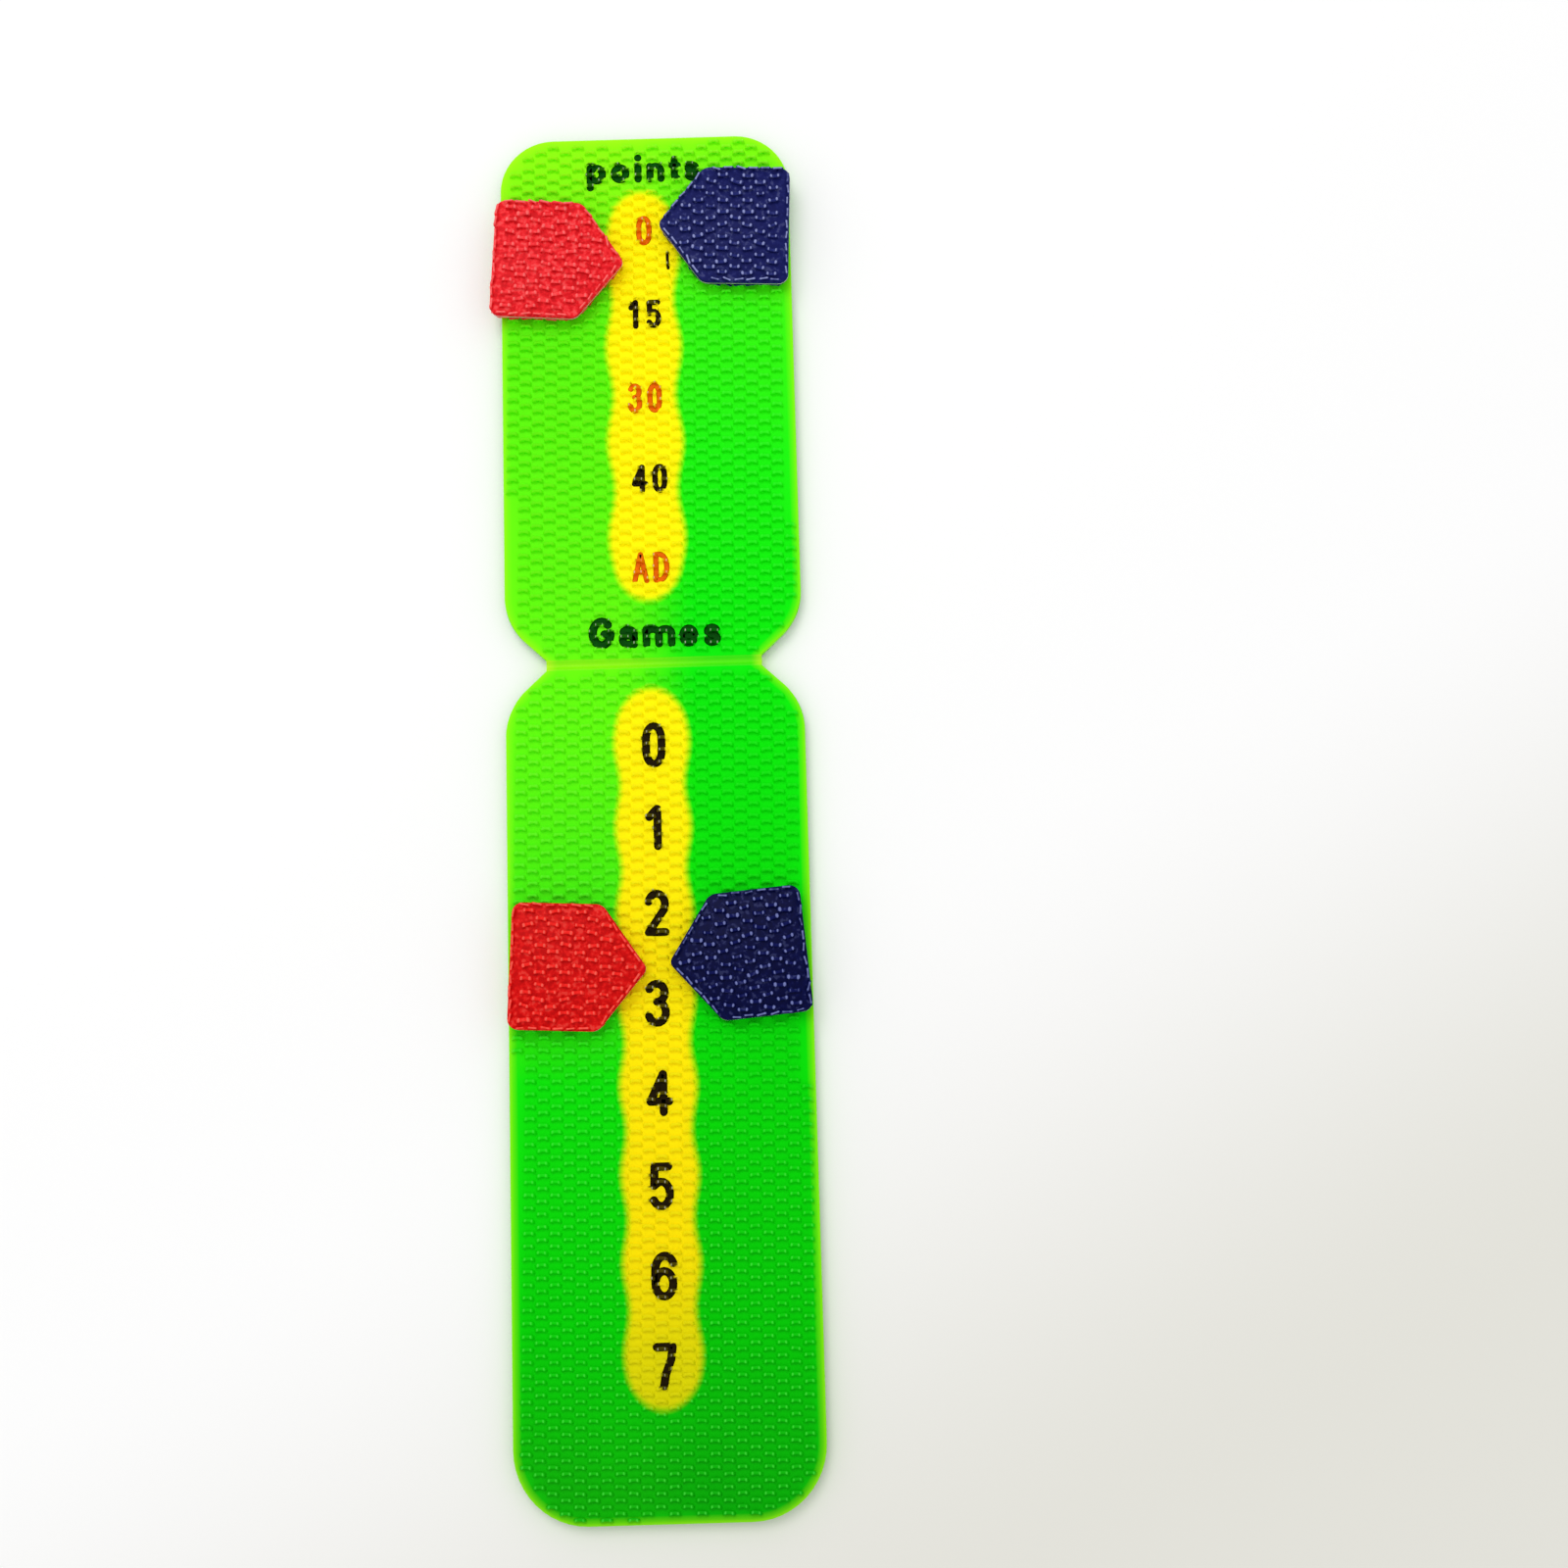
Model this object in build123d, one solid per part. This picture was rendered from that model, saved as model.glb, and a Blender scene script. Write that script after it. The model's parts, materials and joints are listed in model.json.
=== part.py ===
from build123d import *
from math import cos, radians, sin, tan
import os

# Millimetres throughout. The card lies open with its face up: +X is to the right of the scales,
# +Y runs from the fold to the end of the points panel, and +Z points out of the printed face.
# The origin is the middle of the fold line, on the back face of the card.

# Outline of the card, which is cut from one width of hook tape
tape_width = 25.0
points_length = 46.6
games_length = 69.6
points_end_radius = 4.6
games_end_radius = 6.0

# Notches at both ends of the fold: the card's width between them, the turn of their straight
# sides away from the card's sides, in degrees, and the shoulder that joins the two
waist_width = 18.1
notch_angle = 47.0
shoulder_radius = 5.0

# Layers of the card, from the back face to the printed face
back_sheet_thickness = 0.75
bond_film_thickness = 0.10
print_film_thickness = 0.10
hook_sheet_thickness = 0.75
sheet_web_thickness = 0.30
card_trim_margin = 0.30

# Crease pressed into the card between the panels: its run along Y and its least thickness
crease_length = 0.90
crease_web_thickness = 0.45

# Scales: from the top edge to the first points mark, from the fold to the first games mark,
# and from mark to mark
points_heading_space = 8.4
points_mark_pitch = 7.5
games_heading_space = 7.0
games_mark_pitch = 7.2

# Outline of a pointer, a square tab with a pointed nose, before its corners are rounded
pointer_length = 11.3
pointer_height = 10.4
pointer_nose_length = 3.9
pointer_tail_radius = 0.90
pointer_shoulder_radius = 1.00
pointer_tip_radius = 0.60

# Layers of a pointer, from the grip that sits on the card to its own hooked face
pointer_grip_thickness = 0.55
pointer_film_thickness = 0.10
pointer_face_thickness = 0.70
pointer_web_thickness = 0.25
pointer_trim_margin = 0.35

# Where each pointer is set: how many marks below the first one, distance of its tip from
# the middle of the card, and its turn in degrees, anticlockwise
red_points_reading_count = 0.45
red_points_tip_gap = 1.8
red_points_turn_angle = -4.0
blue_points_reading_count = 0.0
blue_points_tip_gap = 1.15
blue_points_turn_angle = -2.5
red_games_reading_count = 2.6
red_games_tip_gap = 0.95
red_games_turn_angle = -3.0
blue_games_reading_count = 2.54
blue_games_tip_gap = 0.8
blue_games_turn_angle = 5.0

# Heights of the card's layers above the back face
back_sheet_top = back_sheet_thickness
bond_film_top = back_sheet_top + bond_film_thickness
print_film_top = bond_film_top + print_film_thickness
card_top = print_film_top + hook_sheet_thickness


def panel_outline(length, end_radius, margin=0.0):
    """Face of one panel from the crease towards +Y, drawn in by a margin from its cut edge."""
    turn = radians(notch_angle)
    fold_edge = crease_length / 2
    side = tape_width / 2 - margin
    waist = waist_width / 2 - margin / cos(turn)
    shoulder = shoulder_radius - margin
    shoulder_x = side - shoulder * (1 - cos(turn))
    shoulder_y = fold_edge + (shoulder_x - waist) / tan(turn)
    side_start = shoulder_y + shoulder * sin(turn)
    end = length - margin
    corner = end_radius - margin
    slope = (sin(turn), cos(turn))
    right_half = Curve() + [
        Line((0, fold_edge), (waist, fold_edge)),
        Line((waist, fold_edge), (shoulder_x, shoulder_y)),
        TangentArc((shoulder_x, shoulder_y), (side, side_start), tangent=slope),
        Line((side, side_start), (side, end - corner)),
        TangentArc((side, end - corner), (side - corner, end), tangent=(0, 1)),
        Line((side - corner, end), (0, end)),
    ]
    return make_face(right_half + mirror(right_half, about=Plane.YZ))


def slab(outline, bottom, thickness):
    """Solid of even thickness that stands on the given height."""
    return extrude(Pos(0, 0, bottom) * outline, amount=thickness)


def card_panel(name, outline, hook_field):
    """Four bonded layers of one panel, as a dictionary of node name to solid.

    The two outer sheets are a web with a field of hooks on its outer side. The field stops a
    little short of the cut edge, where the cutting die has pressed the hooks flat.
    """
    hook_height = hook_sheet_thickness - sheet_web_thickness
    back_hook_height = back_sheet_thickness - sheet_web_thickness
    back_web = slab(outline, back_hook_height, sheet_web_thickness)
    back_hooks = slab(hook_field, 0, back_hook_height)
    face_web = slab(outline, print_film_top, sheet_web_thickness)
    face_hooks = slab(hook_field, print_film_top + sheet_web_thickness, hook_height)
    return {
        f"{name}_back_sheet": back_web + back_hooks,
        f"{name}_bond_film": slab(outline, back_sheet_top, bond_film_thickness),
        f"{name}_print_film": slab(outline, bond_film_top, print_film_thickness),
        f"{name}_hook_sheet": face_web + face_hooks,
    }


def points_panel():
    """Layers of the upper panel, which carries the points scale."""
    outline = panel_outline(points_length, points_end_radius)
    hook_field = panel_outline(points_length, points_end_radius, card_trim_margin)
    return card_panel("points", outline, hook_field)


def games_panel():
    """Layers of the lower, longer panel, which carries the games scale."""
    outline = panel_outline(games_length, games_end_radius)
    hook_field = panel_outline(games_length, games_end_radius, card_trim_margin)
    return card_panel("games", mirror(outline, about=Plane.XZ), mirror(hook_field, about=Plane.XZ))


def fold_crease():
    """Pressed strip between the panels: flat on the back, hollowed by the press on the face."""
    edge = crease_length / 2
    groove_depth = print_film_top - crease_web_thickness
    section = Curve() + [
        Line((-edge, 0), (edge, 0)),
        Line((edge, 0), (edge, print_film_top)),
        EllipticalCenterArc((0, print_film_top), edge, groove_depth, start_angle=180, arc_size=180),
        Line((-edge, print_film_top), (-edge, 0)),
    ]
    profile = Plane.YZ.offset(-waist_width / 2) * make_face(section)
    return extrude(profile, amount=waist_width)


def pointer_outline(margin=0.0):
    """Face of a pointer with its tip at the origin and its tail towards -X, less a margin."""
    half = pointer_height / 2
    tail = -pointer_length
    neck = -pointer_nose_length
    corners = [(tail, -half), (neck, -half), (0, 0), (neck, half), (tail, half)]
    face = make_face(Polyline(*corners, close=True))
    if margin:
        face = offset(face, amount=-margin, kind=Kind.INTERSECTION)
    face = fillet(face.vertices().sort_by(Axis.X)[-1:], pointer_tip_radius)
    face = fillet(face.vertices().sort_by(Axis.X)[2:4], pointer_shoulder_radius)
    return fillet(face.vertices().sort_by(Axis.X)[:2], pointer_tail_radius)


def pointer(name, side, tip_gap, tip_y, turn):
    """Three bonded layers of one pointer, set on the card, as a dictionary of node to solid."""
    facing = Rot(0, 0, turn) if side < 0 else Rot(0, 0, 180 + turn)
    seat = Pos(side * tip_gap, tip_y, card_top) * facing
    outline = pointer_outline()
    hook_field = pointer_outline(pointer_trim_margin)
    film_top = pointer_grip_thickness + pointer_film_thickness
    hook_height = pointer_face_thickness - pointer_web_thickness
    face_web = slab(outline, film_top, pointer_web_thickness)
    face_hooks = slab(hook_field, film_top + pointer_web_thickness, hook_height)
    return {
        f"{name}_grip_back": seat * slab(outline, 0, pointer_grip_thickness),
        f"{name}_bond_film": seat * slab(outline, pointer_grip_thickness, pointer_film_thickness),
        f"{name}_hook_face": seat * (face_web + face_hooks),
    }


def points_mark_y(reading):
    """Height up the card of a reading on the points scale."""
    return points_length - points_heading_space - reading * points_mark_pitch


def games_mark_y(reading):
    """Height up the card of a reading on the games scale."""
    return -games_heading_space - reading * games_mark_pitch


# Name, side of the scale (-1 left, 1 right), gap at the tip, height of the tip, turn
pointer_settings = [
    (
        "red_points_pointer",
        -1,
        red_points_tip_gap,
        points_mark_y(red_points_reading_count),
        red_points_turn_angle,
    ),
    (
        "blue_points_pointer",
        1,
        blue_points_tip_gap,
        points_mark_y(blue_points_reading_count),
        blue_points_turn_angle,
    ),
    (
        "red_games_pointer",
        -1,
        red_games_tip_gap,
        games_mark_y(red_games_reading_count),
        red_games_turn_angle,
    ),
    (
        "blue_games_pointer",
        1,
        blue_games_tip_gap,
        games_mark_y(blue_games_reading_count),
        blue_games_turn_angle,
    ),
]

nodes = {}
nodes.update(points_panel())
nodes.update(games_panel())
nodes["fold_crease"] = fold_crease()
for setting in pointer_settings:
    nodes.update(pointer(*setting))

os.makedirs("parts", exist_ok=True)
for node, solid in nodes.items():
    export_step(solid, f"parts/{node}.step")
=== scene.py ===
"""Looks of a folding tennis score counter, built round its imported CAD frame.

The counter is a card of moulded hook tape, printed under its clear hooks, that folds at a pressed
crease. Four hook-faced pointers grip it and slide along its two scales. Sizes and places are in
millimetres in the frame of the card, until make_object turns a finished mesh into metres.
"""

from __future__ import annotations

import json
import logging
import math
from collections.abc import Callable, Iterable
from dataclasses import dataclass
from enum import Enum

import bmesh
import bpy
import numpy as np
from bmesh.types import BMEdge, BMesh, BMFace, BMVert
from bpy.types import Material, Mesh, NodeSocket, Object
from mathutils import Matrix, Vector
from mathutils.bvhtree import BVHTree

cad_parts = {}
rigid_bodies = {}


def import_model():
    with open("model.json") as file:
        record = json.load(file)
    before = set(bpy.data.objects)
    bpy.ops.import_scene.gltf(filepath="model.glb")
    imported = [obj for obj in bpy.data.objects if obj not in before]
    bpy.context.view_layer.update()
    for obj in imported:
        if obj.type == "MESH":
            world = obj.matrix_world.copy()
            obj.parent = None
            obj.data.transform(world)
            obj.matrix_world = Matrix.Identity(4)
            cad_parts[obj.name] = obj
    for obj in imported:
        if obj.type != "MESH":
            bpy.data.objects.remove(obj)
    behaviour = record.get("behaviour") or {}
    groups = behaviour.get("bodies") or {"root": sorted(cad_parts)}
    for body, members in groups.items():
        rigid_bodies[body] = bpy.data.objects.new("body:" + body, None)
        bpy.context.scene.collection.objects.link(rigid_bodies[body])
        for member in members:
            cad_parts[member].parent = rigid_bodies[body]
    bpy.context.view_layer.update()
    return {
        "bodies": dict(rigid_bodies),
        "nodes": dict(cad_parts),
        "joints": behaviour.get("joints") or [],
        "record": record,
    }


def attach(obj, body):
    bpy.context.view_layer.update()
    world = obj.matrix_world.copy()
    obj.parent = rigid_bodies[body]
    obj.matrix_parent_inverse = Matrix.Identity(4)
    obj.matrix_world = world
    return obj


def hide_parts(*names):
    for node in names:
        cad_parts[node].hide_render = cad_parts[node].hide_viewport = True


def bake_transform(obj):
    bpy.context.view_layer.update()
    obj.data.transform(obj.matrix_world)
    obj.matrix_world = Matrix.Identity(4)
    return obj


LOG = logging.getLogger("score_counter")
MM = 0.001
Colour = tuple[float, float, float, float]
Span = tuple[float, float]
Stops = tuple[tuple[float, Colour], ...]
Stroke = tuple[tuple[float, float], ...]


def ink(*parts: int) -> Colour:
    """Linear colour of a tone written as screen values, by the sRGB curve.

    Args:
        *parts: Red, green and blue, 0 to 255 each.

    Returns:
        Linear red, green and blue with an alpha of one.
    """
    scaled = [part / 255.0 for part in parts]
    return (*(((v + 0.055) / 1.055) ** 2.4 if v > 0.04045 else v / 12.92 for v in scaled), 1.0)


@dataclass(frozen=True)
class Heights:
    """Heights of the layers above the card's back face."""

    back_web: float = 0.45
    back_web_top: float = 0.75
    print_top: float = 0.95
    face_web_top: float = 1.25
    card_top: float = 1.70
    grip_web: float = 2.05
    grip_top: float = 2.25
    tab_film_top: float = 2.35
    tab_web_top: float = 2.60
    tab_top: float = 3.05


HEIGHTS = Heights()


class Side(Enum):
    """Side of the scales on which a pointer sits."""

    LEFT = -1
    RIGHT = 1


class Ink(Enum):
    """Inks of the scales, as linear colours."""

    BLACK = ink(30, 20, 2)
    GREEN_BLACK = ink(0, 72, 2)
    RED = ink(232, 104, 0)


# Node materials


@dataclass(frozen=True)
class Surface:
    """Gloss and fine relief of a finish, which both follow one noise pattern.

    The spread is how far the roughness varies round its middle value. Strength and depth are
    those of the relief, which a finish with no depth doesn't have.
    """

    roughness: float
    specular: float
    spread: float = 0.0
    strength: float = 0.0
    depth: float = 0.0


@dataclass(frozen=True)
class Channel:
    """Output of a shader node, which takes part in sums like a number."""

    bench: NodeBench
    socket: NodeSocket

    def __add__(self, other: Channel | float) -> Channel:
        """Sum with another channel or a number."""
        return self.bench.math("ADD", self, other)

    def __sub__(self, other: Channel | float) -> Channel:
        """What is left after another channel or a number is taken off."""
        return self.bench.math("SUBTRACT", self, other)

    def __rsub__(self, other: float) -> Channel:
        """What is left of a number after the channel is taken off."""
        return self.bench.math("SUBTRACT", other, self)

    def __mul__(self, other: Channel | float) -> Channel:
        """Product with another channel or a number."""
        return self.bench.math("MULTIPLY", self, other)

    def __abs__(self) -> Channel:
        """Size without the sign."""
        return self.bench.math("ABSOLUTE", self)

    def ease(self, low: float, high: float, start: float = 0.0, end: float = 1.0) -> Channel:
        """Run smoothly from start to end while the channel runs from low to high."""
        inputs = dict(enumerate((self, low, high, start, end)))
        return self.bench.add("MapRange", inputs, interpolation_type="SMOOTHSTEP")


Entry = Channel | float | Colour


class NodeBench:
    """Adds and joins shader nodes of one new material."""

    def __init__(self, name: str) -> None:
        """Start an empty material.

        Args:
            name: Name of the material.
        """
        self.material = bpy.data.materials.new(name)
        self.material.use_nodes = True
        self.tree = self.material.node_tree
        self.tree.nodes.clear()

    def add(self, kind: str, inputs: dict[int | str, Entry], output: int | str = 0,
            **settings: object) -> Channel:
        """Add a node.

        Args:
            kind: Node type without its ShaderNode prefix.
            inputs: What goes into its inputs, by their places or names.
            output: Place or name of the output that is wanted.
            **settings: Properties to set on the node.

        Returns:
            The output.
        """
        node = self.tree.nodes.new("ShaderNode" + kind)
        for key, value in settings.items():
            setattr(node, key, value)
        for key, value in inputs.items():
            if isinstance(value, Channel):
                self.tree.links.new(value.socket, node.inputs[key])
            else:
                node.inputs[key].default_value = value
        return Channel(self, node.outputs[output])

    def math(self, operation: str, *values: Channel | float) -> Channel:
        """Add a Math node."""
        return self.add("Math", dict(enumerate(values)), operation=operation)

    def mix(self, factor: Channel, low: Channel | Colour, high: Channel | Colour) -> Channel:
        """Blend two colours, by the share of the second one."""
        # A Mix node has its two colours at inputs 6 and 7 and gives its colour at output 2
        return self.add("Mix", {0: factor, 6: low, 7: high}, 2, data_type="RGBA", clamp_factor=True)

    def gain(self, colour: Channel, value: Channel) -> Channel:
        """Brighten or darken a colour by a factor."""
        return self.add("HueSaturation", {"Value": value, "Color": colour})

    def attribute(self, name: str, output: str = "Fac") -> Channel:
        """Read an attribute of the mesh, as a number or as a colour."""
        return self.add("Attribute", {}, output, attribute_name=name)

    def noise(self, vector: Channel, size: float, detail: float = 2.0) -> Channel:
        """Add smooth noise in patches of a size, about one half on average."""
        return self.add("TexNoise", {"Vector": vector, "Scale": 1.0 / size, "Detail": detail})

    def ramp(self, run: Channel, ends: Span, stops: Stops) -> Channel:
        """Add a colour ramp.

        Args:
            run: Share of the way from one end to the other.
            ends: Places of the ends.
            stops: Place and colour of each stop, in order.

        Returns:
            The colour.
        """
        colour = self.add("ValToRGB", {0: run})
        elements = colour.socket.node.color_ramp.elements
        while len(elements) < len(stops):
            elements.new(1.0)
        for element, (place, tone) in zip(elements, stops):
            element.position = (place - ends[0]) / (ends[1] - ends[0])
            element.color = tone
        return colour

    def place(self) -> tuple[Channel, ...]:
        """Read the place on the object in millimetres.

        Returns:
            The place as a vector, and then its x, y and z.
        """
        metres = self.add("TexCoord", {}, "Object")
        vector = self.add("VectorMath", {0: metres, "Scale": 1.0 / MM}, operation="SCALE")
        return vector, *(self.add("SeparateXYZ", {0: vector}, axis) for axis in "XYZ")

    def close(self, colour: Channel, pattern: Channel, surface: Surface) -> Material:
        """Close the material with a Principled shader.

        Args:
            colour: Base colour.
            pattern: Noise that the gloss and the relief follow.
            surface: The gloss and the relief.

        Returns:
            The material.
        """
        inputs = {"Base Color": colour, "Specular IOR Level": surface.specular,
                  "Roughness": surface.roughness}
        if surface.spread:
            inputs["Roughness"] = pattern * surface.spread + (surface.roughness - surface.spread / 2)
        if surface.depth:
            relief = {"Strength": surface.strength, "Distance": surface.depth * MM, "Height": pattern}
            inputs["Normal"] = self.add("Bump", relief)
        shader = self.add("BsdfPrincipled", inputs)
        output = self.tree.nodes.new("ShaderNodeOutputMaterial")
        self.tree.links.new(shader.socket, output.inputs[0])
        return self.material


@dataclass(frozen=True)
class StripeShape:
    """Outline of a yellow scale stripe: a long rounded bar with wavy sides."""

    top: float
    end: float
    half_width: float
    wave: float
    wave_pitch: float
    wave_peak: float
    centre: float = -0.34
    softness: float = 0.42

    def mask(self, across: Channel, along: Channel) -> Channel:
        """Share of yellow at a place.

        Args:
            across: Place along X.
            along: Place along Y.

        Returns:
            One inside the stripe, zero outside, with a soft edge.
        """
        straight = (self.top - self.end) / 2 - self.half_width
        over = abs(along - (self.top + self.end) / 2) - straight
        over = along.bench.math("MAXIMUM", over, 0.0)
        side = across - self.centre
        reach = along.bench.math("SQRT", over * over + side * side)
        turn = (along - self.wave_peak) * (2 * math.pi / self.wave_pitch)
        half_width = along.bench.math("COSINE", turn) * self.wave + self.half_width
        return (half_width - reach).ease(-self.softness, self.softness)


@dataclass(frozen=True)
class PrintFinish:
    """Printed hook tape: lime to green with a yellow stripe, under painted sheen and shade, with painted
    highlights on the hooks and inked marks.

    The columns left and right of the stripe run from lime to green on their own, so each has its stops of
    colour along the card, as the stripe has. In all three stops, the lime towards the top end is painted
    sheen and the darkening towards the lower end is painted shade. A span is the pair of places, or of
    heights from the card's top, between which one look eases into the next.
    """

    name: str
    stripe: StripeShape
    ends: Span = (-70.0, 48.0)
    # Painted light in the stops: their darkening towards the lower end is painted shade, and the lime they
    # take on towards the top end is painted sheen
    left: Stops = (
        (-68.0, ink(14, 178, 6)), (-55.0, ink(4, 204, 4)), (-35.0, ink(10, 221, 6)),
        (-17.0, ink(80, 233, 10)), (-4.0, ink(104, 241, 8)), (30.0, ink(96, 237, 5)),
        (45.0, ink(146, 245, 10)),
    )
    right: Stops = (
        (-68.0, ink(8, 172, 6)), (-55.0, ink(4, 198, 4)), (-30.0, ink(5, 218, 5)),
        (5.0, ink(9, 231, 7)), (18.0, ink(26, 235, 10)), (31.0, ink(56, 237, 10)),
        (45.0, ink(130, 243, 10)),
    )
    yellow: Stops = (
        (-60.0, ink(214, 210, 5)), (-48.0, ink(242, 223, 3)), (-30.0, ink(248, 231, 4)),
        (0.0, ink(252, 241, 4)), (40.0, ink(255, 243, 2)),
    )
    columns: Span = (-3.6, 3.4)
    drift: float = 5.0
    drift_size: float = 9.0
    edge: Colour = ink(166, 240, 26)
    edge_share: float = 0.6
    # Where the painted highlights on the hooks are full and where faint, and how far the stripe cuts them
    # back
    sides: Span = (-4.5, 4.5)
    left_fall: Span = (-8.0, 10.0)
    left_rise: Span = (-52.0, -30.0)
    right_rise: Span = (-16.0, 2.0)
    faint_sheen: float = 0.3
    stripe_sheen_cut: float = 0.8
    # Painted light on the hooks: lighter crests and pale glints are painted highlights, and the web's gain is
    # painted fill light against the shade between the hooks
    crest: Span = (-0.14, 0.0)
    crest_highlight_gain: float = 0.12
    painted_web_fill: float = 0.13
    glint: Colour = ink(255, 255, 235)
    glint_share: float = 0.016
    # Painted highlights: light green specks on the hook tips towards the lower end of the card
    tip: Colour = ink(84, 238, 76)
    tip_glint_height: Span = (-0.05, -0.01)
    tip_glint_run: Span = (-50.0, -25.0)
    tip_glint_share: float = 0.5
    # Painted highlights: pale specks on the hooks that stand over ink
    ink_glint_height: Span = (-0.03, -0.005)
    ink_glint_share: float = 0.45
    grain: float = 0.25
    surface: Surface = Surface(0.4, 0.03, spread=0.16, strength=0.2, depth=0.02)

    def print_and_painted_light(self, vector: Channel, across: Channel, along: Channel, inside: Channel) -> Channel:
        """Colour of the print, with the painted sheen and shade that its stops hold.

        Args:
            vector: Place on the card.
            across: Place along X.
            along: Place along Y.
            inside: Share of the stripe.

        Returns:
            The colour.
        """
        bench = vector.bench
        cloud = bench.noise(vector, self.drift_size)
        run = along + (cloud - 0.5) * self.drift
        run = (run - self.ends[0]) * (1.0 / (self.ends[1] - self.ends[0]))
        left, right, yellow = (bench.ramp(run, self.ends, stops)
                               for stops in (self.left, self.right, self.yellow))
        return bench.mix(inside, bench.mix(across.ease(*self.columns), left, right), yellow)

    def relief(self, across: Channel, along: Channel) -> Channel:
        """Strength of the painted highlights on the hooks: most to the right of the points and left of the
        games.

        Args:
            across: Place along X.
            along: Place along Y.

        Returns:
            One where the painted highlights are full, less where they are faint.
        """
        side = across.ease(*self.sides)
        left = along.ease(*self.left_fall, 1.0, self.faint_sheen)
        left = left * along.ease(*self.left_rise, self.faint_sheen, 1.0)
        right = along.ease(*self.right_rise, self.faint_sheen, 1.0)
        return side * right + (1.0 - side) * left

    def material(self) -> Material:
        """Build the material.

        Returns:
            The material, which reads the attributes rim, cover and ink.
        """
        bench = NodeBench(self.name)
        vector, across, along, height = bench.place()
        inside = self.stripe.mask(across, along)
        tone = self.print_and_painted_light(vector, across, along, inside)
        tone = bench.mix(bench.attribute("rim") * self.edge_share, tone, self.edge)
        height = height - HEIGHTS.card_top
        # Painted fill light: lightens the web between the hooks to offset its shade
        hollow_shading = height.ease(HEIGHTS.face_web_top - HEIGHTS.card_top, 0.0, 1.0, 0.0)
        # Painted highlight on the hook crests, its strength set by place and cut back on the stripe
        crest_highlight = self.relief(across, along) * (1.0 - inside * self.stripe_sheen_cut)
        crest_highlight = height.ease(*self.crest) * crest_highlight
        # Painted highlight on the crests and painted fill light on the web, then pale painted glints on the
        # crests
        tone = bench.gain(tone, hollow_shading * self.painted_web_fill + crest_highlight * self.crest_highlight_gain + 1.0)
        tone = bench.mix(crest_highlight * self.glint_share, tone, self.glint)
        # Painted highlights: light green specks on the hook tips towards the lower end of the card
        tip_glints = along.ease(*self.tip_glint_run, self.tip_glint_share, 0.0) * (1.0 - inside)
        tone = bench.mix(height.ease(*self.tip_glint_height) * tip_glints, tone, self.tip)
        cover = bench.attribute("cover")
        tone = bench.mix(cover, tone, bench.attribute("ink", "Color"))
        # Painted highlights: pale specks on the hooks that stand over ink
        tone = bench.mix(height.ease(*self.ink_glint_height) * cover * self.ink_glint_share, tone, self.glint)
        return bench.close(tone, bench.noise(vector, self.grain), self.surface)


@dataclass(frozen=True)
class TapeFinish:
    """Moulded hook tape of one colour, with painted highlights on the hook heads and painted shade in the
    hollows.

    The hooks stand from the first of the two heights to the second, so the same finish serves
    tape that faces up and tape that faces down. The mottle is the strength of patches in which
    the colour is fuller, darker or paler, each over its own span of the noise.
    """

    name: str
    colour: Colour
    hollow_shading: Colour
    glint: Colour
    glint_share: float
    heights: Span
    mottle: float = 0.5
    mottle_size: float = 0.42
    full: Span = (0.44, 0.60)
    dark: Span = (0.34, 0.50)
    dark_share: float = 0.3
    pale: Span = (0.56, 0.66)
    pale_share: float = 0.22
    rise: Span = (0.0, 0.85)
    head: Span = (0.88, 0.99)
    grain: float = 0.2
    surface: Surface = Surface(0.4, 0.06, spread=0.14, strength=0.2, depth=0.015)

    def material(self) -> Material:
        """Build the material.

        Returns:
            The material.
        """
        bench = NodeBench(self.name)
        vector, _, _, height = bench.place()
        lift = height.ease(*self.heights)
        cloud = bench.noise(vector, self.mottle_size)
        # Painted shade: the darker tone of the hollows darkens the web and the lower parts of the hooks
        tone = bench.mix(lift.ease(*self.rise), self.hollow_shading, self.colour)
        tone = bench.mix(cloud.ease(*self.full, 0.0, self.mottle), tone, self.colour)
        tone = bench.gain(tone, cloud.ease(*self.dark, 1.0 - self.dark_share * self.mottle, 1.0))
        tone = bench.mix(cloud.ease(*self.pale, 0.0, self.pale_share * self.mottle), tone, self.glint)
        # Painted highlight: pale glints on the hook heads
        tone = bench.mix(lift.ease(*self.head, 0.0, self.glint_share), tone, self.glint)
        return bench.close(tone, bench.noise(vector, self.grain), self.surface)


@dataclass(frozen=True)
class FilmFinish:
    """Melt film: one tone with cloudy streaks and a soft gloss."""

    name: str
    colour: Colour
    streak: Colour
    streak_size: float = 1.2
    streaks: Span = (0.35, 0.65)
    surface: Surface = Surface(0.3, 0.2, spread=0.2, strength=0.15, depth=0.02)

    def material(self) -> Material:
        """Build the material.

        Returns:
            The material.
        """
        bench = NodeBench(self.name)
        cloud = bench.noise(bench.place()[0], self.streak_size, detail=3.0)
        tone = bench.mix(cloud.ease(*self.streaks), self.colour, self.streak)
        return bench.close(tone, cloud, self.surface)


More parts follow.
